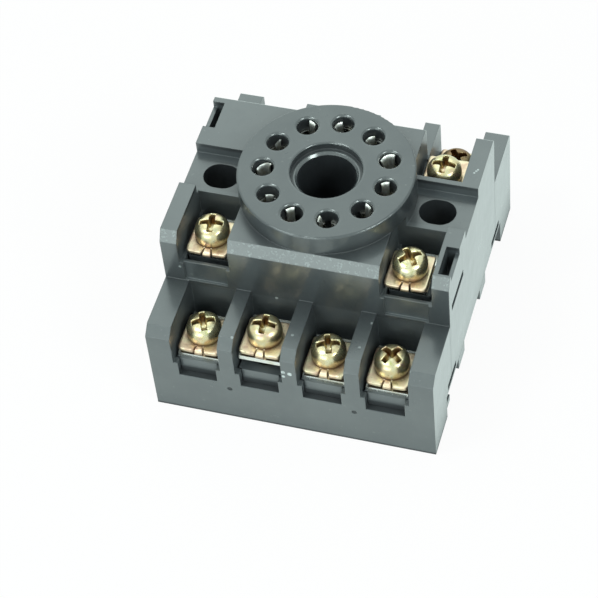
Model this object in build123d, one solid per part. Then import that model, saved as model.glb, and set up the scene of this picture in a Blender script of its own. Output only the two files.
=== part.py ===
from build123d import *
import math
import os

# Two-tier screw-terminal relay socket for a round eleven-pin plug.
# Millimetres, +Z up, +X to the right, +Y to the back, origin at the middle of the underside.

# Outer body
body_width = 44.0
body_length = 50.0
lower_height = 17.8
upper_height = 27.8
upper_half = 14.4
lower_chamfer = 1.5
upper_chamfer_run = 1.0
upper_chamfer_drop = 1.9
rear_chamfer = 0.5
valley_half = 4.1
valley_depth = 1.9
end_wall = 1.2
side_wall = 1.8

# Plug disc
disc_radius = 13.35
disc_height = 3.5
disc_edge = 0.3
pin_count = 11
pin_circle = 19.05
pin_hole_radius = 1.6
pin_rim = 0.45
disc_roof = 2.4
key_bore_radius = 4.45
key_bore_edge = 0.35
key_seat_radius = 5.4
key_seat_depth = 1.3
key_notch_width = 2.4
key_notch_depth = 0.8

# Lower terminal bays
bay_pitch = 9.7
bay_width = 7.4
bay_sill_drop = 0.2
window_width = 6.0
window_height = 2.75
outer_bay_setback = 0.4

# Upper terminal pockets
block_half = 11.55
pocket_side_wall = 2.6
pocket_overhang = 0.6
rear_pocket_wall = 0.8
right_pocket_shift = 0.5
sill_wall = 0.5
sill_rise = 0.3
rim_drop = 0.4
rim_height = 0.6
rim_inset = 0.6
well_margin = 0.5

# Mounting slots through the valley
slot_spacing = 33.6
slot_length = 5.6
slot_width = 4.8
slot_clearance = 0.3

# Hold-down clip slots
clip_depth = 1.9
clip_lip = 0.6
clip_lip_drop = 1.2
clip_start = 7.7
clip_length = 5.3
clip_height = 8.0
clip_window_height = 1.3
clip_window_length = 7.0

# Marks left by ejector pins
mark_radius = 0.4
mark_depth = 0.08
mark_height = 7.0

# Base and rail groove
rail_groove = 35.4
rail_ceiling = 4.6
base_plate = 1.7
base_gap = 0.1
base_side_gap = 0.2
rail_gap = 1.2
hook_thickness = 1.3
hook_reach = 1.6
rib_front_place = -8.4
rib_rear_place = 5.5
rib_width = 3.7
rib_depth = 2.3
foot_core_wall = 1.5
lug_height = 0.9
lug_length = 4.6
lug_reach = 1.3
lug_inset = 3.4
lug_clearance = 0.2

# Pedestals that carry the terminal plates
ledge_thickness = 1.5
pedestal_gap = 0.3
pedestal_web = 0.8
tab_reach = 0.3
tab_clearance = 0.1
tip_hole_clearance = 0.2
tip_end_clearance = 0.3

# Contacts
plate_thickness = 0.8
plate_width = 6.4
low_plate_depth = 5.8
high_plate_depth = 5.6
low_plate_gap = 0.2
high_plate_gap = 1.2
plate_behind_axis = 4.3
loose_plate_rise = 2.0
leg_width = 4.0
leg_clearance = 0.2
collar_radius = 2.3
collar_depth = 1.3
strip_width = 3.0
strip_clearance = 0.3
sleeve_outer = 1.65
sleeve_wall = 0.4
sleeve_slit = 0.9
sleeve_length = 10.8
sleeve_clearance = 0.2
sleeve_top_gap = 0.1

# Terminal screws and square washers
screw_radius = 1.48
thread_clearance = 0.07
screw_length = 6.0
head_radius = 2.65
head_height = 3.0
head_side = 1.25
head_flat_radius = 0.8
head_bulge = 0.75
cross_length = 3.4
cross_width = 0.8
cross_depth = 1.7
cross_taper = 9
washer_width = 6.4
washer_front = 3.7
washer_back = 3.0
washer_thickness = 0.7
washer_corner = 0.5
tongue_width = 1.25
tongue_slit = 0.3
tongue_length = 1.0
tongue_drop = 0.35
low_axis_inset = 5.0
high_axis_inset = 5.0

# Rail latch
latch_half_width = 5.0
latch_wing = 2.0
latch_wing_length = 1.2
latch_wing_start = 0.9
latch_thickness = 2.1
latch_nose = 1.5
latch_lead = 1.0
latch_stem_half = 2.6
latch_end_inset = 0.2
latch_clearance = 0.1
latch_notch_clearance = 0.8
pull_slot_width = 2.6
pull_slot_length = 0.9
pull_slot_inset = 0.9

# Latch springs
spring_wire = 0.18
spring_radius = 0.84
spring_turns = 5
spring_gap = 0.3

# Values that follow from the ones above
half_width = body_width / 2
half_length = body_length / 2
disc_top = upper_height + disc_height
valley_floor = upper_height - valley_depth
low_plate_top = lower_height - low_plate_depth
high_plate_top = upper_height - high_plate_depth
groove_half = rail_groove / 2
inner_x = half_width - side_wall
inner_y = half_length - end_wall
base_x = inner_x - base_side_gap
base_y = inner_y - base_gap
base_top = rail_ceiling + base_plate
cavity_top = base_top + base_gap
pin_radius = pin_circle / 2
sleeve_inner = sleeve_outer - sleeve_wall
sleeve_top = disc_top - disc_roof - sleeve_top_gap
sleeve_foot = sleeve_top - sleeve_length
pocket_outer = half_width - pocket_side_wall
sill_top = high_plate_top - plate_thickness + sill_rise
rim_bottom = lower_height - rim_drop
well_inner = block_half + well_margin
well_outer = pocket_outer - well_margin
well_front = upper_half - outer_bay_setback - sill_wall
bay_sill = low_plate_top - plate_thickness - bay_sill_drop
low_axis_y = half_length - low_axis_inset
high_axis_y = upper_half - high_axis_inset
high_axis_x = (block_half + pocket_outer) / 2
loose_plate_top = low_plate_top + loose_plate_rise
thread_hole = screw_radius + thread_clearance
hook_top = rail_ceiling - rail_gap
hook_bottom = hook_top - hook_thickness
lug_middle = groove_half - lug_inset
latch_bottom = hook_top - latch_thickness
latch_rest = groove_half + latch_wing_start + latch_wing_length
spring_offset = latch_stem_half + spring_gap + spring_radius + spring_wire
BAYS = (-1.5 * bay_pitch, -0.5 * bay_pitch, 0.5 * bay_pitch, 1.5 * bay_pitch)

# Terminals: name, x, y, height of the plate's top, number of its pin hole, turn of the screw's cross,
# and how far the washer stands above the plate. Pin holes count clockwise from the one at the back.
# The second front plate is loose and stands above its ledge.
TERMINALS = (
    ("front_low_1", BAYS[0], -low_axis_y, low_plate_top, 7, 25, 0.45),
    ("front_low_2", BAYS[1], -low_axis_y, loose_plate_top, 6, 2, 0.45),
    ("front_low_3", BAYS[2], -low_axis_y, low_plate_top, 5, 20, 0.45),
    ("front_low_4", BAYS[3], -low_axis_y, low_plate_top, 4, 58, 0.6),
    ("front_high_1", -high_axis_x, -high_axis_y, high_plate_top, 8, 8, 0.45),
    ("front_high_2", high_axis_x - right_pocket_shift, -high_axis_y, high_plate_top, 3, 38, 0.5),
    ("rear_low_1", BAYS[0], low_axis_y, low_plate_top, 9, 70, 0.35),
    ("rear_low_2", BAYS[1], low_axis_y, low_plate_top, 10, 15, 0.55),
    ("rear_low_3", BAYS[2], low_axis_y, low_plate_top, 0, 50, 0.35),
    ("rear_low_4", BAYS[3], low_axis_y, low_plate_top, 1, 33, 0.5),
    ("rear_high_2", high_axis_x, high_axis_y, high_plate_top, 2, 0, 0.35),
)


def block(x0, x1, y0, y1, z0, z1):
    """Box between two corners."""
    return Pos((x0 + x1) / 2, (y0 + y1) / 2, (z0 + z1) / 2) * Box(abs(x1 - x0), abs(y1 - y0), z1 - z0)


def ends(x0, x1, y0, y1, z0, z1):
    """The same box at the front and at the back, given by its distances from the middle."""
    return [block(x0, x1, -y1, -y0, z0, z1), block(x0, x1, y0, y1, z0, z1)]


def post(x, y, radius, z0, z1):
    """Upright cylinder between two heights."""
    return Pos(x, y, (z0 + z1) / 2) * Cylinder(radius, z1 - z0)


def pin_place(number):
    """Centre of a pin hole, counted clockwise from the back."""
    angle = math.radians(90 - number * 360 / pin_count)
    return pin_radius * math.cos(angle), pin_radius * math.sin(angle)


def is_high(plate_top):
    """True for the terminals on the upper tier."""
    return plate_top > lower_height


def strip_level(plate_top):
    """Underside of the strip: on the base for a low terminal, at the sleeve's foot for a high one."""
    return sleeve_foot if is_high(plate_top) else base_top


def leg_place(x, y):
    """Middle of the leg that drops from the inner end of a terminal plate."""
    return x, math.copysign(abs(y) - plate_behind_axis + plate_thickness / 2, y)


def pocket_start(y):
    """Inner end of an upper pocket: open to the valley at the front, behind a wall at the back."""
    return valley_half + rear_pocket_wall if y > 0 else valley_half - pocket_overhang


def strip_face(terminal, grow):
    """Flat outline of a strip from its sleeve to its leg, widened all round by a clearance."""
    name, x, y, plate_top, pin, turn, lift = terminal
    x0, y0 = pin_place(pin)
    x1, y1 = leg_place(x, y)
    angle = math.degrees(math.atan2(y1 - y0, x1 - x0))
    run = SlotCenterToCenter(math.hypot(x1 - x0, y1 - y0), strip_width + 2 * grow)
    face = Pos((x0 + x1) / 2, (y0 + y1) / 2) * Rot(0, 0, angle) * run
    return face + Pos(x0, y0) * Circle(sleeve_outer + grow)


def strip_space(terminal, bottom):
    """Room that a strip needs, from a bottom height to just over its top."""
    top = strip_level(terminal[3]) + plate_thickness + strip_clearance
    return Pos(0, 0, bottom) * extrude(strip_face(terminal, strip_clearance), top - bottom)


def body_profile():
    """Side outline of the housing: two tiers at each end and the valley across the middle."""
    outline = Polyline(
        (-half_length, 0),
        (-half_length, lower_height - lower_chamfer),
        (-half_length + lower_chamfer, lower_height),
        (-upper_half, lower_height),
        (-upper_half, upper_height - upper_chamfer_drop),
        (-upper_half + upper_chamfer_run, upper_height),
        (-valley_half, upper_height),
        (-valley_half, valley_floor),
        (valley_half, valley_floor),
        (valley_half, upper_height),
        (upper_half - rear_chamfer, upper_height),
        (upper_half, upper_height - rear_chamfer),
        (upper_half, lower_height),
        (half_length - rear_chamfer, lower_height),
        (half_length, lower_height - rear_chamfer),
        (half_length, 0),
        close=True,
    )
    return Plane.YZ * make_face(outline)


def bay_cuts():
    """Lower bays, open to the ends of the body over a sill, with a window under each sill."""
    cuts = []
    for x in BAYS:
        left, right = x - bay_width / 2, x + bay_width / 2
        outer = abs(x) > bay_pitch
        back = upper_half - outer_bay_setback if outer else upper_half
        cuts += ends(left, right, back, inner_y, 0, rim_bottom if outer else lower_height)
        cuts += ends(left, right, upper_half, half_length, bay_sill, upper_height)
        left, right = x - window_width / 2, x + window_width / 2
        cuts += ends(left, right, inner_y, half_length, bay_sill - window_height, bay_sill)
    return cuts


def pocket_cuts(x, y):
    """Upper pocket with a sill, a framed panel in the sill and a well for its pedestal."""
    side = math.copysign(1, x)
    end = math.copysign(1, y)
    near, far = side * block_half, side * pocket_outer
    start = pocket_start(y)
    panel = end * (upper_half - outer_bay_setback)
    inset = side * rim_inset
    plate_bottom = high_plate_top - plate_thickness
    return [
        block(near, far, end * start, end * well_front, plate_bottom, upper_height),
        block(near, far, end * well_front, end * upper_half, sill_top, upper_height),
        block(near + inset, far - inset, panel, end * upper_half, rim_bottom + rim_height, sill_top),
        block(side * well_inner, side * well_outer, end * start, end * well_front, 0, high_plate_top),
    ]


def disc_cuts():
    """Key bore with its chamfer, seat and notch, and the pin holes with a pocket for each sleeve."""
    notch = key_notch_width / 2
    seat = disc_top - key_seat_depth
    bevel = Cone(key_bore_radius, key_bore_radius + key_bore_edge, key_bore_edge)
    cuts = [
        post(0, 0, key_bore_radius, 0, disc_top),
        post(0, 0, key_seat_radius, seat, disc_top),
        Pos(0, 0, seat - key_bore_edge / 2) * bevel,
        block(-notch, notch, -key_bore_radius - key_notch_depth, 0, 0, seat),
    ]
    for number in range(pin_count):
        x, y = pin_place(number)
        cuts.append(post(x, y, pin_hole_radius, 0, disc_top))
        cuts.append(post(x, y, sleeve_outer + sleeve_clearance, 0, disc_top - disc_roof))
    return cuts


def clip_cut():
    """Slot for a hold-down clip at the front right, with a lowered lip and a side window."""
    outer = half_width - clip_lip
    end = clip_start + clip_length
    floor = upper_height - clip_height
    slot = block(half_width - clip_depth, outer, -end, -clip_start, floor, upper_height)
    slot += block(outer, half_width, -end, -clip_start, upper_height - clip_lip_drop, upper_height)
    window_end = clip_window_length - end
    return slot + block(outer, half_width, -end, window_end, floor, floor + clip_window_height)


def make_housing():
    """Stepped black moulding with the plug disc, terminal bays, windows and slots."""
    body = extrude(body_profile(), half_width, both=True)
    body += post(0, 0, disc_radius, lower_height, disc_top)

    # Room for the base, and the rail groove through the side walls
    groove = groove_half + base_gap
    cuts = [
        block(-inner_x, inner_x, -inner_y, inner_y, 0, cavity_top),
        block(-half_width, half_width, -groove, groove, 0, rail_ceiling + base_gap),
    ]
    cuts += bay_cuts() + disc_cuts()
    for terminal in TERMINALS:
        cuts.append(strip_space(terminal, 0))
        if is_high(terminal[3]):
            cuts += pocket_cuts(terminal[1], terminal[2])

    # The blank corner is hollow from below
    start = pocket_start(high_axis_y)
    cuts.append(block(-well_outer, -well_inner, start, well_front, 0, valley_floor - side_wall))

    # Mounting slots, hold-down clip slots and windows for the base's snap lugs
    slot = extrude(SlotOverall(slot_length, slot_width), valley_floor)
    lug = lug_length / 2 + lug_clearance
    lug_bottom = base_top - lug_height - lug_clearance
    lug_top = base_top + lug_clearance
    for side in (-1, 1):
        cuts.append(Pos(side * slot_spacing / 2, 0, 0) * slot)
        wall = (side * inner_x, side * half_width)
        cuts += ends(*wall, lug_middle - lug, lug_middle + lug, lug_bottom, lug_top)
    cuts += [clip_cut(), Rot(0, 0, 180) * clip_cut()]

    # Notch in the rear wall for the latch, and ejector marks on the front
    notch = latch_stem_half + latch_notch_clearance
    cuts.append(block(-notch, notch, inner_y, half_length, 0, hook_top + latch_clearance))
    mark = Rot(90, 0, 0) * Cylinder(mark_radius, 2 * mark_depth)
    for side in (-1, 1):
        cuts.append(Pos(side * bay_pitch, -half_length, mark_height) * mark)
    body -= cuts

    # Rounded rims on the disc's top face
    rims = body.faces().sort_by(Axis.Z)[-1].edges()
    body = fillet(rims.filter_by(lambda rim: rim.radius < key_bore_radius), pin_rim)
    rims = body.faces().sort_by(Axis.Z)[-1].edges()
    return fillet(rims.filter_by(lambda rim: rim.radius > key_bore_radius), disc_edge)


def low_pedestal(x, y):
    """Table on a front wall and two side webs, open behind, with a tab that snaps into the window."""
    end = math.copysign(1, y)
    top = low_plate_top - plate_thickness
    left, right = x - bay_width / 2 + pedestal_gap, x + bay_width / 2 - pedestal_gap
    back = end * (abs(y) - plate_behind_axis + plate_thickness + leg_clearance)
    front, wall = end * base_y, end * (base_y - pedestal_web)
    table = block(left, right, back, front, top - ledge_thickness, top)
    table += block(left, left + pedestal_web, back, front, base_top, top)
    table += block(right - pedestal_web, right, back, front, base_top, top)
    table += block(left, right, wall, front, base_top, top)
    half = window_width / 2 - tab_clearance
    tab_bottom = bay_sill - window_height + tab_clearance
    return table + block(x - half, x + half, front, end * (base_y + tab_reach), tab_bottom, top)


def high_pedestal(x, y):
    """Column in the upper pocket's well."""
    side = math.copysign(1, x)
    end = math.copysign(1, y)
    near, far = side * (well_inner + pedestal_gap), side * (well_outer - pedestal_gap)
    back = end * (abs(y) - plate_behind_axis + plate_thickness + leg_clearance)
    front = end * (well_front - high_plate_gap)
    return block(near, far, back, front, base_top, high_plate_top - plate_thickness)


def make_base():
    """Moulding that closes the housing from below, with the rail groove and the terminal pedestals."""
    core = foot_core_wall
    foot = block(-base_x, base_x, -base_y, -groove_half, 0, base_top)
    foot -= block(-base_x + core, base_x - core, -base_y + core, -groove_half - core, 0, base_top - core)
    pieces = [
        foot,
        block(-base_x, base_x, groove_half, base_y, 0, base_top),
        block(-half_width, half_width, -groove_half, -groove_half + hook_reach, hook_bottom, hook_top),
    ]
    for place in (rib_front_place, rib_rear_place):
        start, stop = place - rib_width / 2, place + rib_width / 2
        pieces.append(block(-half_width, half_width, start, stop, rail_ceiling - rib_depth, rail_ceiling))
    for side in (-1, 1):
        lug = (side * base_x, side * (base_x + lug_reach))
        half = lug_length / 2
        pieces += ends(*lug, lug_middle - half, lug_middle + half, base_top - lug_height, base_top)

    # Pedestals, with room for the screws' tips and for the strips
    cuts = []
    for terminal in TERMINALS:
        name, x, y, plate_top, pin, turn, lift = terminal
        tip_end = plate_top + washer_thickness - screw_length - tip_end_clearance
        cuts.append(post(x, y, collar_radius + tip_hole_clearance, tip_end, plate_top))
        cuts.append(strip_space(terminal, strip_level(plate_top)))
        pieces.append(high_pedestal(x, y) if is_high(plate_top) else low_pedestal(x, y))

    # Mounting slots, and the tunnel for the rail latch, wider behind its wings
    slot = extrude(SlotOverall(slot_length + 2 * slot_clearance, slot_width + 2 * slot_clearance), base_top)
    for side in (-1, 1):
        cuts.append(Pos(side * slot_spacing / 2, 0, 0) * slot)
    half = latch_half_width + latch_clearance
    low, high = latch_bottom - latch_clearance, hook_top + latch_clearance
    wing_start = groove_half + latch_wing_start - latch_clearance
    cuts.append(block(-half, half, groove_half, base_y, low, high))
    cuts.append(block(-half - latch_wing, half + latch_wing, wing_start, base_y, low, high))
    return block(-base_x, base_x, -base_y, base_y, rail_ceiling, base_top) + pieces - cuts


def make_contact(terminal):
    """Stamped strip with a threaded terminal plate on a leg, and a rolled pin sleeve at the other end."""
    name, x, y, plate_top, pin, turn, lift = terminal
    end = math.copysign(1, y)
    high = is_high(plate_top)
    level = strip_level(plate_top)
    floor = level + plate_thickness
    plate_bottom = plate_top - plate_thickness
    back = end * (abs(y) - plate_behind_axis)
    front = end * (well_front - high_plate_gap if high else inner_y - low_plate_gap)
    half = plate_width / 2
    contact = Pos(0, 0, level) * extrude(strip_face(terminal, 0), plate_thickness)
    contact += block(x - half, x + half, back, front, plate_bottom, plate_top)
    leg_x, leg_y = leg_place(x, y)
    leg = Box(leg_width, plate_thickness, plate_top - level)
    contact += Pos(leg_x, leg_y, (level + plate_top) / 2) * leg
    contact += post(x, y, collar_radius, plate_bottom - collar_depth, plate_bottom)
    contact -= post(x, y, thread_hole, plate_bottom - collar_depth, plate_top)

    # Sleeve, slit towards the middle of the disc; under a low terminal's sleeve only its outer half goes on
    px, py = pin_place(pin)
    place = Pos(px, py, 0) * Rot(0, 0, math.degrees(math.atan2(py, px)))
    contact += place * post(0, 0, sleeve_outer, level, sleeve_top)
    cuts = post(0, 0, sleeve_inner, floor, sleeve_top)
    cuts += block(-sleeve_outer, 0, -sleeve_slit / 2, sleeve_slit / 2, floor, sleeve_top)
    if not high:
        cuts += block(-sleeve_outer, 0, -sleeve_outer, sleeve_outer, floor, sleeve_foot)
    return contact - place * cuts


def make_washer(terminal):
    """Square clamp washer with a tongue at its front edge, freed by two slits and pressed down."""
    name, x, y, plate_top, pin, turn, lift = terminal
    end = math.copysign(1, y)
    sheet = RectangleRounded(washer_width, washer_front + washer_back, washer_corner)
    face = Pos(0, end * (washer_front - washer_back) / 2) * sheet - Circle(thread_hole)
    slit = Rectangle(tongue_slit, tongue_length)
    slit_x = (tongue_width + tongue_slit) / 2
    slit_y = end * (washer_front - tongue_length / 2)
    face -= [Pos(-slit_x, slit_y) * slit, Pos(slit_x, slit_y) * slit]
    washer = extrude(face, washer_thickness)
    half = tongue_width / 2
    tip, root = end * washer_front, end * (washer_front - washer_thickness)
    washer += block(-half, half, root, tip, -tongue_drop, 0)
    return Pos(x, y, plate_top + lift) * washer


def make_screw(terminal):
    """Pan-head screw with a tapered cross recess and a plain shank."""
    name, x, y, plate_top, pin, turn, lift = terminal
    side_top = (head_radius, head_side)
    crown_edge = (head_flat_radius, head_height)
    shoulder_r = head_flat_radius + head_bulge * (head_radius - head_flat_radius)
    shoulder_z = head_side + head_bulge * (head_height - head_side)
    crown = ThreePointArc(side_top, (shoulder_r, shoulder_z), crown_edge)
    edge = Polyline(crown_edge, (0, head_height), (0, 0), (head_radius, 0), side_top)
    head = revolve(Plane.XZ * make_face(crown + edge), Axis.Z)
    cross = Rectangle(cross_length, cross_width) + Rectangle(cross_width, cross_length)
    head -= Pos(0, 0, head_height) * extrude(cross, -cross_depth, taper=cross_taper)
    screw = head + post(0, 0, screw_radius, -screw_length, 0)
    return Pos(x, y, plate_top + lift + washer_thickness) * Rot(0, 0, turn) * screw


def make_latch():
    """Sliding hook with wings that stop it, a lead-in under its nose and a pull slot in its stem."""
    nose = groove_half - latch_nose
    wing_start = groove_half + latch_wing_start
    half = latch_half_width
    latch = block(-half, half, nose, latch_rest, latch_bottom, hook_top)
    latch += block(-half - latch_wing, half + latch_wing, wing_start, latch_rest, latch_bottom, hook_top)
    stem_end = half_length - latch_end_inset
    latch += block(-latch_stem_half, latch_stem_half, latch_rest, stem_end, latch_bottom, hook_top)
    slot_end = stem_end - pull_slot_inset
    slot = pull_slot_width / 2
    latch -= block(-slot, slot, slot_end - pull_slot_length, slot_end, latch_bottom, hook_top)
    lead = latch.edges().filter_by(Axis.X).sort_by(lambda edge: edge.center().Y + edge.center().Z)[0]
    return chamfer(lead, latch_lead)


def make_springs():
    """Two small coil springs between the latch's wings and the rear wall."""
    height = inner_y - latch_rest - 2 * spring_wire
    coil = Helix(height / spring_turns, height, spring_radius)
    section = Plane(origin=coil @ 0, z_dir=coil % 0) * Circle(spring_wire)
    spring = Rot(-90, 0, 0) * sweep(section, path=coil)
    y, z = latch_rest + spring_wire, (latch_bottom + hook_top) / 2
    return Compound(children=[Pos(side * spring_offset, y, z) * spring for side in (-1, 1)])


def save(name, shape):
    """Writes one piece to its own file."""
    export_step(shape, os.path.join("parts", name + ".step"))


os.makedirs("parts", exist_ok=True)
save("housing", make_housing())
save("base", make_base())
save("rail_latch", make_latch())
save("latch_springs", make_springs())
for terminal in TERMINALS:
    save("contact_" + terminal[0], make_contact(terminal))
    save("washer_" + terminal[0], make_washer(terminal))
    save("screw_" + terminal[0], make_screw(terminal))
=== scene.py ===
import math

import bpy
import numpy as np
from mathutils import Matrix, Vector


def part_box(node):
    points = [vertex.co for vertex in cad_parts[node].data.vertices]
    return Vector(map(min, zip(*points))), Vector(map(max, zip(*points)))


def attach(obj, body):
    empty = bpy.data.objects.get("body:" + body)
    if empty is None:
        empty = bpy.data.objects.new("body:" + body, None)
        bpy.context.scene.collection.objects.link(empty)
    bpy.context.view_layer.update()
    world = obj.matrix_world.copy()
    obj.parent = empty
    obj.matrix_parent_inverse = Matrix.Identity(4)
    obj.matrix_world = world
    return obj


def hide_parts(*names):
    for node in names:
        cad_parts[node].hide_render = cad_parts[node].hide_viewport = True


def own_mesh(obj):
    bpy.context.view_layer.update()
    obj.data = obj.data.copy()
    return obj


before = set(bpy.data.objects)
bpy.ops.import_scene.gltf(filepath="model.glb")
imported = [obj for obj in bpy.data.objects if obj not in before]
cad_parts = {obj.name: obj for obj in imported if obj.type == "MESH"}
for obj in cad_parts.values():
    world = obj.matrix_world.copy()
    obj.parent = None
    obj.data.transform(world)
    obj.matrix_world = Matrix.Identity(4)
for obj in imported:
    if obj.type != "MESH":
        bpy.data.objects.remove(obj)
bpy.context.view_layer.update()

MM = 0.001
TURN = 2 * math.pi

# Turn of each screw's cross, in degrees
CROSS_TURNS = {
    "front_low_1": 25, "front_low_2": 2, "front_low_3": 20, "front_low_4": 58,
    "front_high_1": 8, "front_high_2": 38,
    "rear_low_1": 70, "rear_low_2": 15, "rear_low_3": 50, "rear_low_4": 33,
    "rear_high_2": 0,
}

# How much darker brown each screw's whole head is, from 0 to 1
HEAD_DARKENING = {
    "front_low_1": 0.02, "front_low_2": 0.12, "front_low_3": 0.05, "front_low_4": 0.10,
    "front_high_1": 0.08, "front_high_2": 0.0,
    "rear_low_1": 0.2, "rear_low_2": 0.3, "rear_low_3": 0.2, "rear_low_4": 0.8,
    "rear_high_2": 0.05,
}

# Contact leaves in the pin holes: plan angle and half spread in degrees, then in millimetres the mouth's
# radius, the height of its middle, and how much higher than that its end at the greater angle is
LEAVES = {
    "rear_low_3": (148, 38, 1.42, 30.2, 0.0), "rear_low_4": (139, 40, 1.40, 29.8, 0.0),
    "rear_high_2": (126, 58, 1.42, 30.8, -0.2), "front_high_2": (108, 30, 1.34, 30.8, -0.1),
    "front_low_4": (62, 22, 1.42, 30.8, 0.2), "front_low_3": (177, 20, 1.42, 30.85, -0.15),
    "front_low_2": (119, 32, 1.34, 30.9, -0.1), "front_low_1": (98, 34, 1.25, 29.6, 0.0),
    "front_high_1": (100, 60, 1.42, 30.4, -0.7), "rear_low_1": (109, 22, 1.25, 29.9, -0.5),
    "rear_low_2": (70, 24, 1.42, 30.8, 0.2),
}
LEAF_FOOT = 25.0
LEAF_FLARE = 0.35
LEAF_SHEET = 0.28
LEAF_COLUMNS = 13
LEAF_ROWS = 24

# Pin holes on their circle, clockwise from the rear as seen from above
PIN_CIRCLE = 19.05
PIN_ORDER = (
    "rear_low_3", "rear_low_4", "rear_high_2", "front_high_2", "front_low_4", "front_low_3",
    "front_low_2", "front_low_1", "front_high_1", "rear_low_1", "rear_low_2",
)

# Head of the terminal screw, in millimetres from the washer's top. HEAD_ROUND is the superellipse's power, and
# HEAD_RINGS gives the first and last radius of the crown's rings and how many there are.
HEAD_RADIUS = 2.65
HEAD_HEIGHT = 3.0
HEAD_SIDE = 1.25
HEAD_FLAT = 0.7
HEAD_ROUND = 2.2
HEAD_RINGS = ((0.05, 1.95, 28), (2.05, HEAD_RADIUS, 10))
SCREW_COLUMNS = 120

# Cross in the head, in millimetres. CROSS_TAPER is the share of depth lost at the bars' ends, CROSS_CORNER how
# sharply they meet, CROSS_WALL where the wall starts and ends; last, the radii where brown soiling and painted
# shade set in.
CROSS_HALF_LENGTH = 1.75
CROSS_HALF_WIDTH = 0.42
CROSS_DEPTH = 1.8
CROSS_TAPER = 0.5
CROSS_CORNER = 9
CROSS_WALL = (0.05, -0.18)
CROSS_DIRT_AND_SHADE = (0.3, 1.1)

# Side and seat of the head: how far in from the rim, and the height; and the heights between which a painted
# contact shadow sets in
HEAD_EDGE = ((0.0, 0.8), (0.0, 0.14), (0.04, 0.04), (0.12, 0.0), (1.0, 0.0), (1.35, -0.04))
SEAT_SHADE = (0.8, 0.0)

# Shank and thread, in millimetres. THREAD_FLANK is the gain of a wave and what is cut off it, and THREAD_START
# the heights between which the thread grows.
SHANK_LENGTH = 6.0
SHANK_TOP = -0.08
SHANK_END = 0.3 - SHANK_LENGTH
SHANK_ROWS = 80
POINT_START = 1.0 - SHANK_LENGTH
POINT_TAPER = 0.35
THREAD_CREST = 1.46
THREAD_ROOT = 1.19
THREAD_PITCH = 0.5
THREAD_FLANK = (1.6, 0.3)
THREAD_START = (-0.05, -0.6)
# How much darker the thread's roots are
THREAD_ROOT_DARKENING = 0.7

# Square washer, in millimetres. CORNER_POWER is the superellipse's power, and SLIT_CLEAR the angle in radians by
# which the slits' rays stay clear of the tongue and the plate.
WASHER_HALF = 3.2
WASHER_FRONT = 3.7
WASHER_BACK = 3.0
WASHER_HOLE = 1.55
WASHER_THICKNESS = 0.7
WASHER_EDGE = 0.16
WASHER_EDGE_CUT = 0.3
WASHER_BOW = 0.16
CORNER_POWER = 14
TONGUE_HALF = 0.625
TONGUE_SLIT = 0.3
TONGUE_LENGTH = 1.0
TONGUE_DROP = 0.35
TONGUE_RAYS = 9
SLIT_RAYS = 3
SLIT_CLEAR = 0.002
PLATE_RAYS = 124
PLATE_RINGS = 9

# Latch springs, in millimetres
SPRING_WIRE = 0.18
SPRING_COIL = 0.84
SPRING_TURNS = 5
SPRING_STEPS = 30
WIRE_SIDES = 12

# Zones of the housing with a finish or painted shade of their own, as smooth steps from start to end in
# millimetres:
# along Z, away from the middle along X or Y, or away from the disc's axis. A zone is where all its steps are 1.
PLASTIC_ZONES = {
    "disc": [("z", 27.85, 27.95)],
    "rims": [("z", 30.80, 30.90), ("radius", 12.4, 12.1)],
    "under_face": [("z", 31.30, 31.26)],
    "core": [("radius", 5.9, 5.6)],
    "bore_edge": [("radius", 5.0, 4.9), ("z", 29.55, 29.60)],
    "pockets": [("y", 2.6, 3.0), ("y", 14.5, 14.3), ("z", 27.4, 26.9)],
    "bays": [("y", 14.3, 14.5), ("z", 17.7, 17.2)],
    "bay_backs": [("y", 19.0, 16.5), ("x", 20.6, 20.3)],
    "tier_wall": [("y", 14.2, 14.3), ("y", 14.8, 14.6), ("z", 24.0, 20.0)],
    # Front and rear windows, up to their lower half: painted shade
    "windows": [
        ("y", 22.0, 22.3), ("y", 24.93, 24.85), ("x", 20.4, 20.0), ("z", 8.0, 8.2), ("z", 9.45, 9.25),
    ],
    # Foot: a painted contact shadow along the bottom edge
    "foot": [("z", 0.55, 0.20)],
}

# Edges of the plastic: radius of their rounding and what the rims have on top of it, in millimetres
EDGE_ROUND = 0.24
RIM_ROUND = 0.26

# Direction that the worn slope over the front bays faces
SLOPE_FACING = (0, -0.885, 0.466)

# Ejector marks on the front: centres, radius and fade in millimetres
MARKS = ((-9.7, -25.0, 7.0), (9.7, -25.0, 7.0))
MARK_RADIUS = 0.34
MARK_FADE = 0.14

# Pale scuff marks and specks on the housing, and a painted glint on the edge of the second front bay at
# (-8.8, -23.4, 17.8): centre and radius in millimetres, and how white they are
SCUFFS_AND_GLINTS = (
    ((-0.85, -25.0, 13.7), 0.24, 1.0), ((-0.83, -25.0, 12.7), 0.18, 1.0), ((0.18, -25.0, 13.5), 0.30, 1.0),
    ((20.7, 7.06, 27.8), 0.08, 0.7), ((20.9, 7.42, 27.8), 0.10, 0.7), ((21.1, 7.78, 27.8), 0.08, 0.7),
    ((-4.6, -14.4, 17.3), 0.16, 0.5), ((10.6, -16.3, 17.8), 0.12, 0.4), ((-19.4, -14.4, 20.8), 0.14, 0.5),
    ((-12.5, -14.4, 20.8), 0.12, 0.5), ((18.5, -14.4, 20.9), 0.12, 0.5), ((-8.8, -23.4, 17.8), 0.16, 0.4),
    ((-0.2, -21.0, 17.8), 0.14, 0.4), ((10.0, -21.0, 17.8), 0.12, 0.4), ((18.2, -23.7, 17.8), 0.16, 0.4),
)
SCUFF_AND_GLINT_FADE = 0.15
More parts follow.
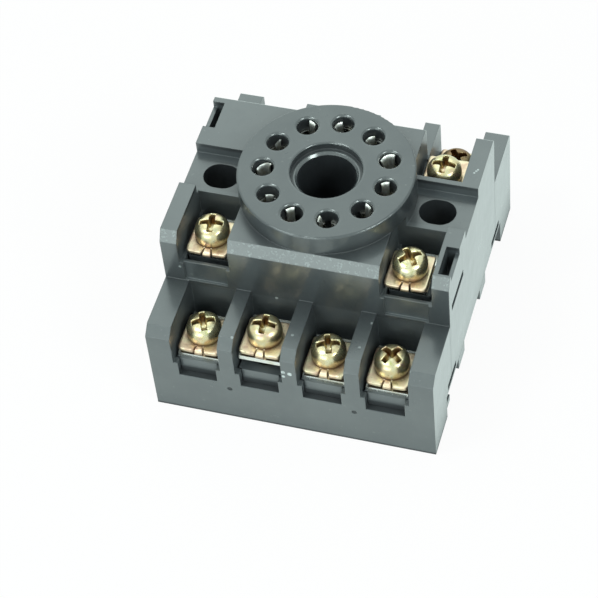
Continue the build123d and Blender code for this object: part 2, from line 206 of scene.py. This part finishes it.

# Colours of the plastic, of what lies on it, and of the shade and highlights painted on it
SKIN_DARK = (0.034, 0.041, 0.046)
SKIN_PALE = (0.056, 0.064, 0.067)
# Paler worn edges, which also stand in for painted edge highlights
RUBBED_EDGE_AND_HIGHLIGHT = (0.15, 0.16, 0.16)
DUST_SPECK = (0.18, 0.19, 0.18)
BAY_DUST = (0.10, 0.11, 0.12)
# Painted shade in closed-in hollows
PAINTED_HOLLOW_SHADE = (0.012, 0.013, 0.016)
BAY_SHADE = (0.016, 0.018, 0.021)
# Painted shade in the windows and along the foot; the ejector marks take the same dark
PAINTED_SHADE_AND_DARK_MARKS = (0.010, 0.011, 0.014)
WORN_SLOPE = (0.30, 0.33, 0.33)
# White of the scuff marks and of the painted glint among them
SCUFF_AND_GLINT_WHITE = (0.62, 0.66, 0.66)

# Colours of the metals; a list of stops runs over a tint's noise
ZINC_STOPS = [
    (0.30, (0.78, 0.54, 0.42)), (0.44, (0.80, 0.66, 0.37)),
    (0.58, (0.80, 0.72, 0.48)), (0.74, (0.58, 0.57, 0.24)),
]
ZINC_FILM = (0.86, 0.78, 0.64)
# Brown for soiling and painted shade in the cross, painted contact shadow at the seat, and darker thread roots
# and heads
ZINC_DIRT_AND_SHADE = (0.12, 0.050, 0.014)
COPPER_STOPS = [(0.32, (0.54, 0.35, 0.25)), (0.50, (0.76, 0.59, 0.42)), (0.68, (0.80, 0.71, 0.48))]
COPPER_STAIN = (0.24, 0.14, 0.09)
SILVER_BRIGHT = (0.88, 0.87, 0.84)
SILVER_YELLOWED = (0.78, 0.72, 0.58)
TIN_BRIGHT = (0.90, 0.90, 0.87)
TIN_YELLOWED = (0.74, 0.71, 0.62)
WIRE_DARK = (0.42, 0.42, 0.44)
WIRE_PALE = (0.60, 0.60, 0.62)

# Table and room: the tint and strength of the room's light, how much of the table is plain white to the eye,
# and how far it reaches in metres
WHITE = (1.0, 1.0, 1.0)
COOL_WHITE = (0.86, 1.0, 0.97)
ROOM_FILL = 0.50
TABLE_GREY = (0.9, 0.9, 0.9)
TABLE_WHITE = 0.94
TABLE_REACH = 3.0

# Panels and lamps that face the part: place and size in metres, power in watts
LAMPS = {
    "rear_panel": ((-0.25, 0.62, 0.80), 0.9, 2.0),
    "front_panel": ((-0.30, -1.05, 0.28), 0.7, 3.5),
    "left_lamp": ((-0.38, -0.29, 0.76), 0.26, 2.2),
    "right_lamp": ((0.66, -0.36, 0.60), 0.28, 2.8),
}

# Camera of the photograph: angles in degrees, lengths in metres, lens and sensor in millimetres
CAMERA_AZIMUTH = 21.17
CAMERA_ELEVATION = 50.83
CAMERA_ROLL = -6.65
CAMERA_DISTANCE = 0.373
CAMERA_TARGET = (-0.0066, -0.0001, -0.0008)
CAMERA_LENS = 141.3
CAMERA_SENSOR = 36
CAMERA_CLIP = (0.01, 20)


class Socket:
    """An output in a material's node tree; arithmetic on it adds Math nodes."""

    def __init__(self, tree, output):
        self.tree = tree
        self.output = output

    def math(self, operation, *values):
        """One Math node on these values or links."""
        return self.tree.node("ShaderNodeMath", {"operation": operation}, dict(enumerate(values)))

    def __add__(self, other):
        return self.math("ADD", self, other)

    def __sub__(self, other):
        return self.math("SUBTRACT", self, other)

    def __mul__(self, other):
        return self.math("MULTIPLY", self, other)

    def __rsub__(self, other):
        return self.math("SUBTRACT", other, self)

    def __abs__(self):
        return self.math("ABSOLUTE", self)

    __radd__ = __add__
    __rmul__ = __mul__

    def largest(self, other):
        """The greater of this and another value."""
        return self.math("MAXIMUM", self, other)

    def above(self, low, high):
        """0 below low and 1 above high, smooth between; the other way round where high is lower."""
        settings = {"interpolation_type": "SMOOTHSTEP"}
        if low < high:
            return self.tree.node("ShaderNodeMapRange", settings, {0: self, 1: low, 2: high, 3: 0.0, 4: 1.0})
        return self.tree.node("ShaderNodeMapRange", settings, {0: self, 1: high, 2: low, 3: 1.0, 4: 0.0})


class Finish:
    """The node tree of a material or of the world, built from expressions."""

    def __init__(self, owner):
        owner.use_nodes = True
        self.owner = owner
        self.nodes = owner.node_tree.nodes
        self.links = owner.node_tree.links

    def node(self, kind, settings=None, inputs=None, output=0):
        """One node: its settings are set first, then the values or links of its sockets."""
        made = self.nodes.new(kind)
        for name, value in (settings or {}).items():
            if name == "stops":
                ramp = made.color_ramp.elements
                while len(ramp) < len(value):
                    ramp.new(0.5)
                for stop, (place, colour) in zip(ramp, value):
                    stop.position = place
                    stop.color = (*colour, 1)
            else:
                setattr(made, name, value)
        for key, value in (inputs or {}).items():
            self.put(made.inputs[key], value)
        return Socket(self, made.outputs[output])

    def put(self, target, value):
        """Links an expression to a socket, or sets the socket's own value."""
        if isinstance(value, Socket):
            self.links.new(value.output, target)
        elif isinstance(value, tuple) and len(value) == 3 and target.type == "RGBA":
            target.default_value = (*value, 1)
        else:
            target.default_value = value

    def mix(self, amount, first, second):
        """Colour between two colours."""
        settings = {"data_type": "RGBA", "clamp_factor": True}
        return self.node("ShaderNodeMix", settings, {0: amount, 6: first, 7: second}, 2)

    def layered(self, colour, *layers):
        """A colour with layers over it, each given by how much it covers and its own colour."""
        for amount, over in layers:
            colour = self.mix(amount, colour, over)
        return colour

    def ramp(self, amount, stops):
        """Colour along a list of stops."""
        return self.node("ShaderNodeValToRGB", {"stops": stops}, {0: amount})

    def place(self):
        """Object coordinates, which are metres in the part's own frame."""
        return self.node("ShaderNodeTexCoord", output="Object")

    def axes(self, place):
        """The three coordinates of a place, each as its own value."""
        split = self.node("ShaderNodeSeparateXYZ", None, {0: place})
        outputs = split.output.node.outputs
        return [Socket(self, outputs[name]) for name in "XYZ"]

    def dot(self, first, second):
        """Cosine of the angle between two directions."""
        inputs = {0: first, 1: second}
        return self.node("ShaderNodeVectorMath", {"operation": "DOT_PRODUCT"}, inputs, "Value")

    def noise(self, place, size, detail=2.0, rough=0.5):
        """Cloudy noise whose lumps are about size metres across, from 0 to 1."""
        inputs = {"Vector": place, "Scale": 1 / size, "Detail": detail, "Roughness": rough}
        return self.node("ShaderNodeTexNoise", None, inputs)

    def stretched(self, place, scale):
        """Coordinates stretched along the axes, for streaks and brush marks."""
        return self.node("ShaderNodeMapping", None, {"Vector": place, "Scale": scale})

    def spot(self, place, centre, radius, fade):
        """1 within radius of a centre, fading to 0 outside; all in millimetres."""
        inputs = {0: place, 1: tuple(value * MM for value in centre)}
        distance = self.node("ShaderNodeVectorMath", {"operation": "DISTANCE"}, inputs, "Value")
        return distance.above((radius + fade) * MM, radius * MM)

    def bump(self, height, depth, normal=None):
        """Normal of a surface raised by height times depth in metres."""
        inputs = {"Height": height, "Distance": depth, "Strength": 1.0}
        if normal is not None:
            inputs["Normal"] = normal
        return self.node("ShaderNodeBump", None, inputs)

    def surface(self, **sockets):
        """Sets or links the main shader's sockets, named with underscores for spaces."""
        shader = self.nodes["Principled BSDF"]
        for name, value in sockets.items():
            self.put(shader.inputs[name.replace("_", " ")], value)
        return self.owner


def new_finish(name):
    """A fresh material to build on."""
    return Finish(bpy.data.materials.new(name))


def plastic_zones(f, at):
    """One mask for each of the housing's zones, the product of its smooth steps. Steps away from the disc's
    axis are taken on the squares of the radii."""
    x, y, z = f.axes(at)
    coordinates = {"x": (abs(x), 1), "y": (abs(y), 1), "z": (z, 1), "radius": (x * x + y * y, 2)}
    masks = {}
    for name, steps in PLASTIC_ZONES.items():
        for axis, start, end in steps:
            value, power = coordinates[axis]
            step = value.above((start * MM) ** power, (end * MM) ** power)
            masks[name] = masks[name] * step if name in masks else step
    return masks


def moulded_plastic():
    """Black moulded plastic: a dark skin under a glossy film that is thinner on the handled disc, dulled by dust
    in the bays and by painted shade, darkest in closed-in hollows, deep in the bays, in the windows and along
    the foot, and on the dark ejector marks; edges worn paler, which also paints in edge highlights; the slope
    over the front bays worn in specks; faint draw streaks; and a few white scuff marks with a painted glint
    among them."""
    f = new_finish("moulded_plastic")
    at = f.place()
    zones = plastic_zones(f, at)
    clouds = f.noise(at, 9 * MM, 4.0, 0.6)
    shine = f.noise(at, 4 * MM, 3.0, 0.55)
    dust = f.noise(at, 0.8 * MM, 2.0, 0.5)
    grain = f.noise(at, 0.35 * MM, 3.0, 0.6)
    streak = f.noise(f.stretched(at, (1.0, 1.0, 0.07)), 0.30 * MM, 2.0, 0.5)

    # Edges: where the rounded normal leaves the face's own
    radius = EDGE_ROUND * MM + zones["rims"] * (RIM_ROUND * MM)
    rounded = f.node("ShaderNodeBevel", {"samples": 8}, {"Radius": radius})
    facing = f.node("ShaderNodeNewGeometry", output="Normal")
    bend = 1 - f.dot(rounded, facing)
    # Paler worn edges, partly painted edge highlights
    rubbed_and_highlit = bend.above(0.02, 0.25) * clouds.above(0.35, 0.7)
    bright = zones["bore_edge"] + zones["rims"] * bend.above(0.002, 0.02).largest(zones["under_face"])

    # Soiling, wear and painted shade: dust and painted shade in hollows, by how closed in they are; painted
    # shade deep in the bays, in the windows and along the foot; dark ejector marks; what was worn or knocked; a
    # painted glint
    openness = f.node("ShaderNodeAmbientOcclusion", {"samples": 4}, {"Distance": 10 * MM}, "AO")
    dust_and_shade_in_hollows = openness.above(0.92, 0.4) * (1 - bright)
    dusty = zones["bays"] + zones["pockets"] * (1 - zones["core"])
    # Painted shade deep in the bays and on the tier's wall
    inside = (zones["bays"] * zones["bay_backs"]).largest(zones["tier_wall"] * 0.5)
    marks = sum(f.spot(at, centre, MARK_RADIUS, MARK_FADE) for centre in MARKS)
    # Painted shade in the windows and along the foot, and the dark ejector marks
    grime_and_shade = marks.largest(zones["windows"].largest(zones["foot"]))
    worn = f.dot(facing, SLOPE_FACING).above(0.97, 0.99) * dust.above(0.45, 0.62) * grain.above(0.45, 0.60)
    # White scuff marks, and a painted glint among them
    scuffs_and_glints = sum(f.spot(at, centre, size, SCUFF_AND_GLINT_FADE) * white for centre, size, white in SCUFFS_AND_GLINTS)
    scuff_and_glint_spots = scuffs_and_glints * grain.above(0.30, 0.55)

    colour = f.layered(
        f.mix(clouds.above(0.3, 0.75), SKIN_DARK, SKIN_PALE),
        (rubbed_and_highlit * 0.5, RUBBED_EDGE_AND_HIGHLIGHT),
        (dust.above(0.66, 0.78) * 0.3, DUST_SPECK),
        (dust_and_shade_in_hollows * dusty * 0.35, BAY_DUST),
        # Painted shade in closed-in hollows outside the bays and pockets
        (dust_and_shade_in_hollows * (1 - dusty) * 0.85, PAINTED_HOLLOW_SHADE),
        (inside * 0.5, BAY_SHADE),
        (grime_and_shade * 0.85, PAINTED_SHADE_AND_DARK_MARKS),
        (worn * 0.45, WORN_SLOPE),
        (scuff_and_glint_spots, SCUFF_AND_GLINT_WHITE),
    )
    roughness = 0.20 + shine * 0.14 + streak * 0.08 + scuff_and_glint_spots * 0.3 + worn * 0.2
    roughness = roughness + dust_and_shade_in_hollows * 0.25 + grime_and_shade * 0.2 - bright * 0.08
    film = 1 - zones["disc"] * (1 - bright) * 0.5
    film = film * (1 - dust_and_shade_in_hollows * 0.8) * (1 - grime_and_shade * 0.9) * (1 - inside * 0.85)
    relief = grain * 0.5 + dust * 0.3 + streak * 0.5
    return f.surface(
        Base_Color=colour, Roughness=roughness, IOR=1.65, Coat_Weight=film, Coat_Roughness=0.2, Coat_IOR=1.65,
        Normal=f.bump(relief, 0.006 * MM, rounded),
    )


def yellow_zinc():
    """Yellow zinc plating: pale gold with pink and green tints, brown soiling in the cross with painted shade
    there, a painted contact shadow at the head's seat, and darker brown in the thread's roots and over the head."""
    f = new_finish("yellow_zinc")
    at = f.place()
    tint = f.noise(at, 1.3 * MM, 3.0, 0.55)
    grime_and_shade = f.noise(at, 0.9 * MM, 4.0, 0.7)
    film = f.noise(at, 0.7 * MM, 2.0, 0.5)
    fine = f.noise(at, 0.12 * MM, 2.0, 0.5)
    # Per vertex: soiling and painted shade in the cross, painted contact shadow at the seat, darker thread roots
    # and head
    dirt = f.node("ShaderNodeAttribute", {"attribute_name": "dirt"}, output="Fac")
    dirt = dirt + grime_and_shade.above(0.56, 0.70) * 0.35
    colour = f.layered(
        f.ramp(tint, ZINC_STOPS), (film.above(0.60, 0.75) * 0.4, ZINC_FILM), (dirt * 0.95, ZINC_DIRT_AND_SHADE),
    )
    return f.surface(
        Base_Color=colour, Metallic=1.0, Roughness=0.20 + fine * 0.14 + dirt * 0.25,
        Normal=f.bump(film * 0.6 + fine * 0.4, 0.012 * MM),
    )


def copper_washer():
    """Plated copper sheet: pinkish gold, brushed by the press, with darker stains."""
    f = new_finish("copper_washer")
    at = f.place()
    tint = f.noise(at, 1.6 * MM, 3.0, 0.6)
    stain = f.noise(at, 0.8 * MM, 4.0, 0.7)
    brushed = f.noise(f.stretched(at, (1.0, 0.12, 1.0)), 0.10 * MM, 2.0, 0.5)
    colour = f.layered(f.ramp(tint, COPPER_STOPS), (stain.above(0.52, 0.72) * 0.6, COPPER_STAIN))
    return f.surface(
        Base_Color=colour, Metallic=1.0, Roughness=0.28 + brushed * 0.18,
        Normal=f.bump(brushed * 0.5 + tint * 0.5, 0.010 * MM),
    )


def silver_contact():
    """Silver plating on the contacts: bright, finely scratched, a little yellowed."""
    f = new_finish("silver_contact")
    at = f.place()
    tarnish = f.noise(at, 2.2 * MM, 3.0, 0.6)
    scratch = f.noise(f.stretched(at, (1.0, 1.0, 0.1)), 0.12 * MM, 2.0, 0.5)
    colour = f.mix(tarnish.above(0.4, 0.75), SILVER_BRIGHT, SILVER_YELLOWED)
    return f.surface(
        Base_Color=colour, Metallic=1.0, Roughness=0.18 + scratch * 0.14,
        Normal=f.bump(scratch, 0.002 * MM),
    )


def tinned_leaf():
    """Matt tin on the spring leaves: pale grey, finely streaked up and down, a little yellowed."""
    f = new_finish("tinned_leaf")
    at = f.place()
    tarnish = f.noise(at, 0.9 * MM, 3.0, 0.6)
    streak = f.noise(f.stretched(at, (1.0, 1.0, 0.1)), 0.15 * MM, 2.0, 0.5)
    colour = f.mix(tarnish.above(0.4, 0.7), TIN_BRIGHT, TIN_YELLOWED)
    return f.surface(
        Base_Color=colour, Metallic=1.0, Roughness=0.36 + streak * 0.16,
        Normal=f.bump(streak, 0.003 * MM),
    )


def spring_steel():
    """Drawn steel wire, dark and smooth, with fine draw marks."""
    f = new_finish("spring_steel")
    at = f.place()
    marks = f.noise(at, 0.15 * MM, 3.0, 0.6)
    colour = f.mix(marks, WIRE_DARK, WIRE_PALE)
    return f.surface(
        Base_Color=colour, Metallic=1.0, Roughness=0.25 + marks * 0.15,
        Normal=f.bump(marks, 0.004 * MM),
    )


def link(name, mesh, material):
    """Puts a finished mesh into the scene as a piece."""
    mesh.materials.append(material)
    mesh.shade_smooth()
    piece = bpy.data.objects.new(name, mesh)
    bpy.context.scene.collection.objects.link(piece)
    return piece


def ring_mesh(name, rings, loop=False):
    """Mesh of closed rings of points, each joined to the next by quads. A loop joins the last ring to the
    first; otherwise the two end rings are closed by fans to their middle points."""
    rows, columns = rings.shape[:2]
    index = np.arange(rows * columns).reshape(rows, columns)
    here, below = (index, np.roll(index, -1, 0)) if loop else (index[:-1], index[1:])
    quads = np.stack([here, below, np.roll(below, -1, 1), np.roll(here, -1, 1)], -1).reshape(-1, 4)
    points = rings.reshape(-1, 3)
    faces = quads.tolist()
    if not loop:
        first, last = index[0], index[-1]
        points = np.concatenate([points, rings[[0, -1]].mean(1)])
        top, bottom = rows * columns, rows * columns + 1
        faces += np.stack([np.full(columns, top), first, np.roll(first, -1)], -1).tolist()
        faces += np.stack([np.full(columns, bottom), np.roll(last, -1), last], -1).tolist()
    mesh = bpy.data.meshes.new(name)
    mesh.from_pydata((points * MM).tolist(), [], faces)
    return mesh


def sheet_mesh(name, grid):
    """Mesh of an open grid of points, each joined to its neighbours by quads."""
    rows, columns = grid.shape[:2]
    index = np.arange(rows * columns).reshape(rows, columns)
    quads = np.stack([index[:-1, :-1], index[1:, :-1], index[1:, 1:], index[:-1, 1:]], -1).reshape(-1, 4)
    mesh = bpy.data.meshes.new(name)
    mesh.from_pydata((grid.reshape(-1, 3) * MM).tolist(), [], quads.tolist())
    return mesh


def give_attribute(mesh, name, values):
    """Stores one number per vertex for the material to read."""
    layer = mesh.attributes.new(name, "FLOAT", "POINT")
    layer.data.foreach_set("value", values.astype(np.float32))


def smooth_step(low, high, value):
    """0 at low, 1 at high, and the cubic 3t2 - 2t3 between."""
    t = np.clip((value - low) / (high - low), 0, 1)
    return t * t * (3 - 2 * t)


def screw_shape(turn):
    """Rings of a pan-head screw about its axis, with the washer's top at height 0, and how much brown soiling
    and painted
    shade each point has. Head: height over radius is a flat crown falling along a superellipse to the side. The
    cross is sunk into it by a depth that is greatest in the middle and falls with the square of the radius,
    inside a smooth
    wall round two crossed bars. Shank: radius over height and angle is a trapezoid wave of one pitch per turn,
    narrowed to a point at its end."""
    angle = np.linspace(0, TURN, SCREW_COLUMNS, endpoint=False)
    crown = np.concatenate([np.linspace(*rings) for rings in HEAD_RINGS])
    radius, theta = np.meshgrid(crown, angle, indexing="ij")
    fall = np.clip((radius - HEAD_FLAT) / (HEAD_RADIUS - HEAD_FLAT), 0, 1)
    height = HEAD_SIDE + (HEAD_HEIGHT - HEAD_SIDE) * (1 - fall ** HEAD_ROUND) ** (1 / HEAD_ROUND)
    across = np.abs(radius * np.cos(theta - math.radians(turn)))
    along = np.abs(radius * np.sin(theta - math.radians(turn)))
    narrow = -np.log(np.exp(-CROSS_CORNER * across) + np.exp(-CROSS_CORNER * along)) / CROSS_CORNER
    outside = np.maximum(narrow - CROSS_HALF_WIDTH, np.maximum(across, along) - CROSS_HALF_LENGTH)
    sunk = smooth_step(*CROSS_WALL, outside)
    height -= sunk * CROSS_DEPTH * (1 - CROSS_TAPER * (radius / CROSS_HALF_LENGTH) ** 2)
    # Brown soiling in the cross's outer parts, with painted shade there
    dirt = sunk * smooth_step(*CROSS_DIRT_AND_SHADE, radius)

    inset, seat = np.hsplit(np.array(HEAD_EDGE), 2)
    tall = np.linspace(SHANK_TOP, SHANK_END, SHANK_ROWS)[:, None]
    wave = np.abs(2 * ((tall / THREAD_PITCH - angle / TURN) % 1) - 1)
    gain, cut = THREAD_FLANK
    crest = np.clip(gain * wave - cut, 0, 1) * smooth_step(*THREAD_START, tall)
    point = 1 - POINT_TAPER * smooth_step(POINT_START, SHANK_END, tall) ** 2
    thread = (THREAD_ROOT + (THREAD_CREST - THREAD_ROOT) * crest) * point

    rim, seat, tall = (np.repeat(column, SCREW_COLUMNS, 1) for column in (HEAD_RADIUS - inset, seat, tall))
    radius = np.concatenate([radius, rim, thread])
    height = np.concatenate([height, seat, tall])
    # Painted contact shadow low on the head's side, and darker thread roots
    dirt = np.concatenate([dirt, smooth_step(*SEAT_SHADE, seat), THREAD_ROOT_DARKENING * (1 - crest)])
    rings = np.stack([radius * np.cos(angle), radius * np.sin(angle), height], -1)
    return rings, np.concatenate([dirt.ravel(), [0.0, 0.0]])


def washer_shape(front):
    """Rings of a square washer about its axis, resting on height 0. Each ray from the axis meets a rectangle
    whose corners are rounded as a superellipse; the two slits beside the tongue are rays that stop short. The
    section along a ray is a flat plate with round outer edges. The plate bows up with the square of the
    distance sideways, and the tongue bends down with the square of the distance from its root."""
    inner = math.atan2(TONGUE_HALF, WASHER_FRONT)
    outer = math.atan2(TONGUE_HALF + TONGUE_SLIT, WASHER_FRONT)
    tongue = np.linspace(-inner, inner, TONGUE_RAYS)
    slit = np.linspace(inner + SLIT_CLEAR, outer - SLIT_CLEAR, SLIT_RAYS)
    plate = np.linspace(outer, TURN - outer, PLATE_RAYS)
    turn = np.concatenate([tongue, slit, plate, TURN - slit[::-1]])
    kind = np.repeat(["tongue", "slit", "plate", "slit"], [TONGUE_RAYS, SLIT_RAYS, PLATE_RAYS, SLIT_RAYS])
    across, along = np.sin(turn), np.cos(turn)
    length = np.where(along > 0, WASHER_FRONT, WASHER_BACK)
    sides = (abs(across) / WASHER_HALF) ** CORNER_POWER + (abs(along) / length) ** CORNER_POWER
    root = WASHER_FRONT - TONGUE_LENGTH
    reach = np.where(kind == "slit", root / along, sides ** (-1 / CORNER_POWER))

    flat = WASHER_HOLE + np.linspace(0, 1, PLATE_RINGS)[:, None] * (reach - WASHER_EDGE - WASHER_HOLE)
    rim = reach - WASHER_EDGE * np.array([[WASHER_EDGE_CUT], [0.0], [0.0], [WASHER_EDGE_CUT]])
    radius = np.concatenate([flat, rim, flat[::-1]])
    upper = WASHER_EDGE * np.array([WASHER_EDGE_CUT, 1.0])
    faces = np.repeat([0.0, WASHER_THICKNESS], PLATE_RINGS)
    drop = np.insert(faces, PLATE_RINGS, [*upper, *(WASHER_THICKNESS - upper[::-1])])
    x, y = radius * across, radius * along
    bent = np.where(kind == "tongue", np.clip((y - root) / TONGUE_LENGTH, 0, 1), 0)
    height = WASHER_THICKNESS - drop[:, None] + WASHER_BOW * (x / WASHER_HALF) ** 2 - TONGUE_DROP * bent ** 2
    rings = np.stack([x, front * y, height], -1)
    return rings if front < 0 else rings[:, ::-1]


def dress_terminals(zinc, copper):
    """Replaces each terminal's plain screw and washer, in the places that the frame gives."""
    for name, turn in CROSS_TURNS.items():
        low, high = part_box("screw_" + name)
        axis = np.array([(low.x + high.x) / 2, (low.y + high.y) / 2, low.z]) / MM + (0, 0, SHANK_LENGTH)
        rings, dirt = screw_shape(turn)
        mesh = ring_mesh("zinc_screw_" + name, rings + axis)
        # Every head made darker brown by its own amount
        give_attribute(mesh, "dirt", dirt + HEAD_DARKENING[name])
        piece = link("zinc_screw_" + name, mesh, zinc)
        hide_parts("screw_" + name)
        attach(piece, "screw_" + name)
        rings = washer_shape(-1 if name.startswith("front") else 1)
        mesh = ring_mesh("copper_washer_" + name, rings + axis - (0, 0, WASHER_THICKNESS), loop=True)
        piece = link("copper_washer_" + name, mesh, copper)
        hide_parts("washer_" + name)
        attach(piece, "washer_" + name)


def leaf_shape(angle, spread, radius, top, slant):
    """Grid of a spring leaf about a pin hole's axis, from its mouth down. Each row is an arc round the axis;
    the arc's radius falls off exponentially below the flared mouth, whose height rises evenly along it."""
    side = np.linspace(-1, 1, LEAF_COLUMNS)
    around = np.radians(angle + spread * side)
    mouth = top + slant * side
    depth = (mouth - LEAF_FOOT) * np.linspace(0, 1, LEAF_ROWS)[:, None] ** 2
    reach = radius - LEAF_FLARE * (1 - np.exp(-depth / LEAF_FLARE))
    return np.stack([reach * np.cos(around), reach * np.sin(around), mouth - depth], -1)


def dress_pin_holes(tin):
    """Adds the leaf that shows in each pin hole to the contact below it."""
    for number, name in enumerate(PIN_ORDER):
        turn = TURN / 4 - number * TURN / len(PIN_ORDER)
        place = np.array([math.cos(turn), math.sin(turn), 0.0]) * PIN_CIRCLE / 2
        mesh = sheet_mesh("contact_leaf_" + name, leaf_shape(*LEAVES[name]) + place)
        piece = link("contact_leaf_" + name, mesh, tin)
        sheet = piece.modifiers.new("sheet", "SOLIDIFY")
        sheet.thickness = LEAF_SHEET * MM
        sheet.offset = 0
        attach(piece, "socket")


def spring_shape(length):
    """Rings of a coil spring along +Y. The wire's middle goes round a circle as it advances evenly, and each
    ring is a circle across the wire, in the plane of the radius and the spring's axis."""
    turn = np.linspace(0, SPRING_TURNS * TURN, SPRING_STEPS * SPRING_TURNS + 1)[:, None]
    across = np.linspace(0, TURN, WIRE_SIDES, endpoint=False)
    reach = SPRING_COIL + SPRING_WIRE * np.cos(across)
    middle = SPRING_WIRE + (length - 2 * SPRING_WIRE) * turn / turn[-1]
    return np.stack([reach * np.cos(turn), middle + SPRING_WIRE * np.sin(across), -reach * np.sin(turn)], -1)


def dress_latch(steel):
    """Replaces the two latch springs by coil springs of the same length."""
    low, high = (np.array(corner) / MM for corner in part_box("latch_springs"))
    length = high[1] - low[1]
    offset = high[0] - SPRING_COIL - SPRING_WIRE
    for name, side in (("left", -1), ("right", 1)):
        place = np.array([side * offset, low[1], (low[2] + high[2]) / 2])
        mesh = ring_mesh("latch_spring_" + name, spring_shape(length) + place)
        piece = link("latch_spring_" + name, mesh, steel)
        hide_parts("latch_springs")
        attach(piece, "socket")
        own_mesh(piece)


def dress_nodes(plastic, silver):
    """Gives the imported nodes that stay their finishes."""
    finishes = {"housing": plastic, "base": plastic, "rail_latch": plastic}
    for name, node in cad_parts.items():
        finish = silver if name.startswith("contact_") else finishes.get(name)
        if finish is not None:
            node.data.materials.clear()
            node.data.materials.append(finish)


def seen_rays(f):
    """1 where a ray comes straight from the camera, and 1 where it comes from a mirror or through glass."""
    path = f.node("ShaderNodeLightPath")
    rays = path.output.node.outputs
    straight, mirrored, through = [
        Socket(f, rays[name]) for name in ("Is Camera Ray", "Is Glossy Ray", "Is Transmission Ray")
    ]
    return straight, mirrored.largest(through)


def lay_floor():
    """White table: a plain diffuse sheet for light, nearly its own white for the eye, a cool white in
    mirrors, and clear from below."""
    f = new_finish("white_table")
    straight, mirrored = seen_rays(f)
    f.surface(Base_Color=TABLE_GREY, Roughness=0.9, Specular_IOR_Level=0.0)
    white = f.node("ShaderNodeEmission", None, {"Color": WHITE, "Strength": 1.0})
    cool = f.node("ShaderNodeEmission", None, {"Color": COOL_WHITE, "Strength": 1.0})
    clear = f.node("ShaderNodeBsdfTransparent")
    sheet = Socket(f, f.nodes["Principled BSDF"].outputs[0])
    mixed = f.node("ShaderNodeMixShader", None, {0: straight * TABLE_WHITE, 1: sheet, 2: white})
    mixed = f.node("ShaderNodeMixShader", None, {0: mirrored, 1: mixed, 2: cool})
    below = f.node("ShaderNodeNewGeometry", output="Backfacing")
    mixed = f.node("ShaderNodeMixShader", None, {0: below, 1: mixed, 2: clear})
    f.put(f.nodes["Material Output"].inputs["Surface"], mixed)
    corners = [(x * TABLE_REACH, y * TABLE_REACH, 0) for x, y in ((-1, -1), (1, -1), (1, 1), (-1, 1))]
    mesh = bpy.data.meshes.new("table")
    mesh.from_pydata(corners, [], [(0, 1, 2, 3)])
    link("table", mesh, f.owner)


def placed(right, up, back, place):
    """Matrix of a lamp or camera with these axes, at a place."""
    matrix = np.eye(4)
    matrix[:3] = np.stack([right, up, back, np.array(place)], 1)
    return Matrix(matrix)


def light_room():
    """A pale room, white where it is seen, cool white where it is mirrored, with large soft panels behind and
    in front and two lamps over the sides, all facing the part."""
    world = bpy.data.worlds.new("pale_room")
    bpy.context.scene.world = world
    f = Finish(world)
    straight, mirrored = seen_rays(f)
    fill = f.node("ShaderNodeBackground", None, {"Color": COOL_WHITE, "Strength": ROOM_FILL})
    white = f.node("ShaderNodeBackground", None, {"Color": WHITE, "Strength": 1.0})
    cool = f.node("ShaderNodeBackground", None, {"Color": COOL_WHITE, "Strength": 1.0})
    mixed = f.node("ShaderNodeMixShader", None, {0: straight, 1: fill, 2: white})
    mixed = f.node("ShaderNodeMixShader", None, {0: mirrored, 1: mixed, 2: cool})
    f.put(f.nodes["World Output"].inputs["Surface"], mixed)
    for name, (place, size, power) in LAMPS.items():
        lamp = bpy.data.lights.new(name, "AREA")
        lamp.shape = "SQUARE"
        lamp.size = size
        lamp.energy = power
        lamp.color = COOL_WHITE
        panel = bpy.data.objects.new(name, lamp)
        bpy.context.scene.collection.objects.link(panel)
        back = np.array(place) / np.linalg.norm(place)
        right = np.cross((0.0, 0.0, 1.0), back)
        right /= np.linalg.norm(right)
        panel.matrix_world = placed(right, np.cross(back, right), back, place)


def set_camera():
    """Camera at the photograph's place: turned round the target by azimuth and elevation, then rolled."""
    azimuth, elevation, roll = map(math.radians, (CAMERA_AZIMUTH, CAMERA_ELEVATION, CAMERA_ROLL))
    flat = math.cos(elevation)
    back = np.array([math.sin(azimuth) * flat, -math.cos(azimuth) * flat, math.sin(elevation)])
    right = np.array([math.cos(azimuth), math.sin(azimuth), 0.0])
    up = np.cross(back, right)
    across = right * math.cos(roll) + up * math.sin(roll)
    upward = up * math.cos(roll) - right * math.sin(roll)
    camera = bpy.data.objects.new("camera", bpy.data.cameras.new("camera"))
    camera.data.lens = CAMERA_LENS
    camera.data.sensor_width = CAMERA_SENSOR
    camera.data.clip_start, camera.data.clip_end = CAMERA_CLIP
    camera.matrix_world = placed(across, upward, back, np.array(CAMERA_TARGET) + back * CAMERA_DISTANCE)
    bpy.context.scene.collection.objects.link(camera)
    bpy.context.scene.camera = camera


dress_terminals(yellow_zinc(), copper_washer())
dress_pin_holes(tinned_leaf())
dress_latch(spring_steel())
dress_nodes(moulded_plastic(), silver_contact())
lay_floor()
light_room()
set_camera()
bpy.context.scene.view_settings.view_transform = "Standard"
